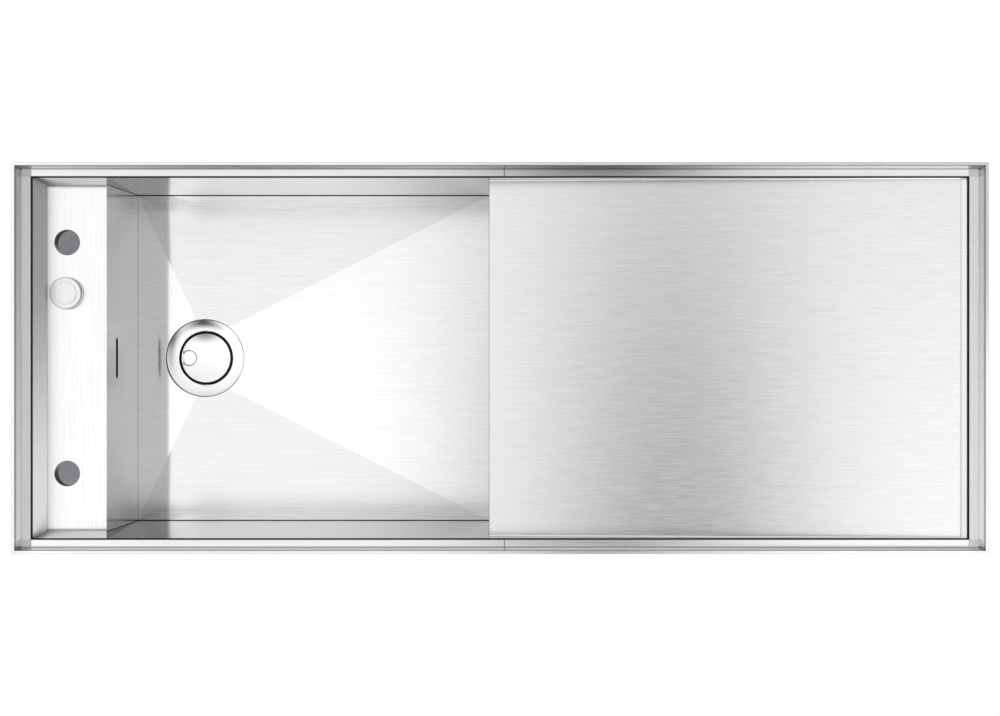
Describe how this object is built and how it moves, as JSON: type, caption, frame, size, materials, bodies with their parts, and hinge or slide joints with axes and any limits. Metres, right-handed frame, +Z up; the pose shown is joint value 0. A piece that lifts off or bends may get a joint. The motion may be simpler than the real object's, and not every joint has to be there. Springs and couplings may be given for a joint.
{
  "type": "kitchen sink",
  "caption": "Long flush-mount steel sink: stepped rim, tap shelf with turn knob, square bowl with hipped floor and pop-up waste, and a plain sloped drainer.",
  "frame": {"origin": "centre of the rim's outline, on the rim's top plane, which is level with the finished worktop", "axes": "+X along the sink from the tap shelf to the drainer, +Y to the rear, +Z up"},
  "size_m": [1.2768, 0.5116, 0.3245],
  "materials": {
    "brushed_steel": "fine linear brush",
    "polished_steel": "mirror polish",
    "black_rubber": "matt black",
    "grey_plastic": "moulded satin",
    "damping_pad": "matt bitumen",
    "plated_steel": "zinc plated",
    "brass": "machined"
  },
  "bodies": {
    "sink": {"rim_left": "brushed_steel", "rim_right": "brushed_steel", "rim_rear_left": "brushed_steel", "rim_rear_right": "brushed_steel", "rim_front_left": "brushed_steel", "rim_front_right": "brushed_steel", "recess_left_panel": "brushed_steel", "recess_rear_panel": "brushed_steel", "recess_front_panel": "brushed_steel", "tap_shelf": "brushed_steel", "tap_hole_collars": "brushed_steel", "bowl_left_panel": "brushed_steel", "bowl_right_panel": "brushed_steel", "bowl_rear_panel": "brushed_steel", "bowl_front_panel": "brushed_steel", "bowl_floor": "brushed_steel", "drainer_panel": "brushed_steel", "drainer_rear_panel": "brushed_steel", "drainer_front_panel": "brushed_steel", "drainer_end_panel": "brushed_steel", "earth_tag": "brushed_steel", "waste_flange": "polished_steel", "knob_base": "polished_steel", "ledge_strips": "black_rubber", "waste_gasket_upper": "black_rubber", "waste_gasket_lower": "black_rubber", "overflow_gasket": "black_rubber", "waste_body": "grey_plastic", "lift_guide": "grey_plastic", "outlet_tail": "grey_plastic", "overflow_housing": "grey_plastic", "overflow_pipe": "grey_plastic", "overflow_unions": "grey_plastic", "cable_housing": "grey_plastic", "shaft_gland": "grey_plastic", "sound_pads": "damping_pad", "drainer_stiffeners": "plated_steel", "clip_brackets": "plated_steel", "clip_claws": "plated_steel", "clip_screws": "plated_steel", "overflow_studs": "plated_steel", "overflow_nuts": "plated_steel", "knob_nut": "plated_steel", "cable_bracket": "plated_steel", "knob_bush": "brass", "control_gland": "brass", "waste_gland": "brass"},
    "knob": {"control_knob": "polished_steel", "knob_spindle": "plated_steel", "cable_pulley": "grey_plastic"},
    "rocker": {"rocker_shaft": "plated_steel", "rocker_crank": "plated_steel"},
    "lift_pin": {"lift_pin": "plated_steel"},
    "plug": {"plug_disc": "polished_steel", "plug_seal": "black_rubber", "plug_stem": "polished_steel", "strainer_basket": "polished_steel"}
  },
  "joints": [
    {"name": "knob_turn", "type": "hinge", "parent": "sink", "child": "knob", "pos_m": [-0.5855, 0.0875, -0.0586], "axis": [0, 0, 1], "range_deg": [0, 90]},
    {"name": "rocker_swing", "type": "hinge", "parent": "sink", "child": "rocker", "pos_m": [-0.4601, 0, -0.2805], "axis": [0, -1, 0], "range_deg": [0, 19.2]},
    {"name": "lift_rise", "type": "slide", "parent": "sink", "child": "lift_pin", "axis": [0, 0, 1], "range_m": [0, 0.008]},
    {"name": "plug_lift_out", "type": "slide", "parent": "lift_pin", "child": "plug", "axis": [0, 0, 1], "range_m": [0, 0.06]}
  ],
  "couplings": [
    {"joint": "rocker_swing", "follows": "knob_turn", "ratio": 0.2132},
    {"joint": "lift_rise", "follows": "knob_turn", "m_per_rad": 0.005092}
  ]
}
